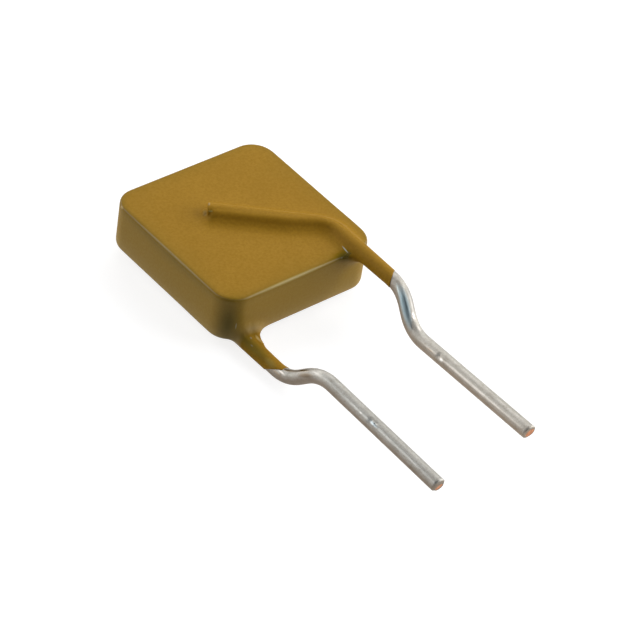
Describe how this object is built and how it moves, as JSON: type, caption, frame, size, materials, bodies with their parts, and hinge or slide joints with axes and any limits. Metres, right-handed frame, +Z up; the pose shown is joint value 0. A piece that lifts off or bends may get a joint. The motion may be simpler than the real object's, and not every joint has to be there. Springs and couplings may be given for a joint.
{
  "type": "resettable fuse",
  "caption": "Radial-leaded resettable fuse: a square epoxy-dipped slab with a diagonal wire ridge on each broad face, and kinked tinned leads that solder into a circuit board.",
  "frame": {"origin": "middle of the part's box, at its lowest level, where the lower ridge meets the surface it lies on", "axes": "+Y from the lead tips towards the coated body, +Z up through the thickness, +X across the two leads"},
  "size_m": [0.0082, 0.0202, 0.0032],
  "materials": {
    "epoxy": "satin ochre dipped epoxy, slightly mottled",
    "polymer": "matte black carbon-filled polymer",
    "foil": "matte nickel foil",
    "solder": "satin grey solder",
    "tinned_wire": "dull satin tin over copper"
  },
  "bodies": {
    "root": {"epoxy_coating": "epoxy", "ptc_element": "polymer", "upper_electrode": "foil", "lower_electrode": "foil", "upper_solder": "solder", "lower_solder": "solder", "upper_lead": "tinned_wire", "lower_lead": "tinned_wire"}
  },
  "joints": []
}
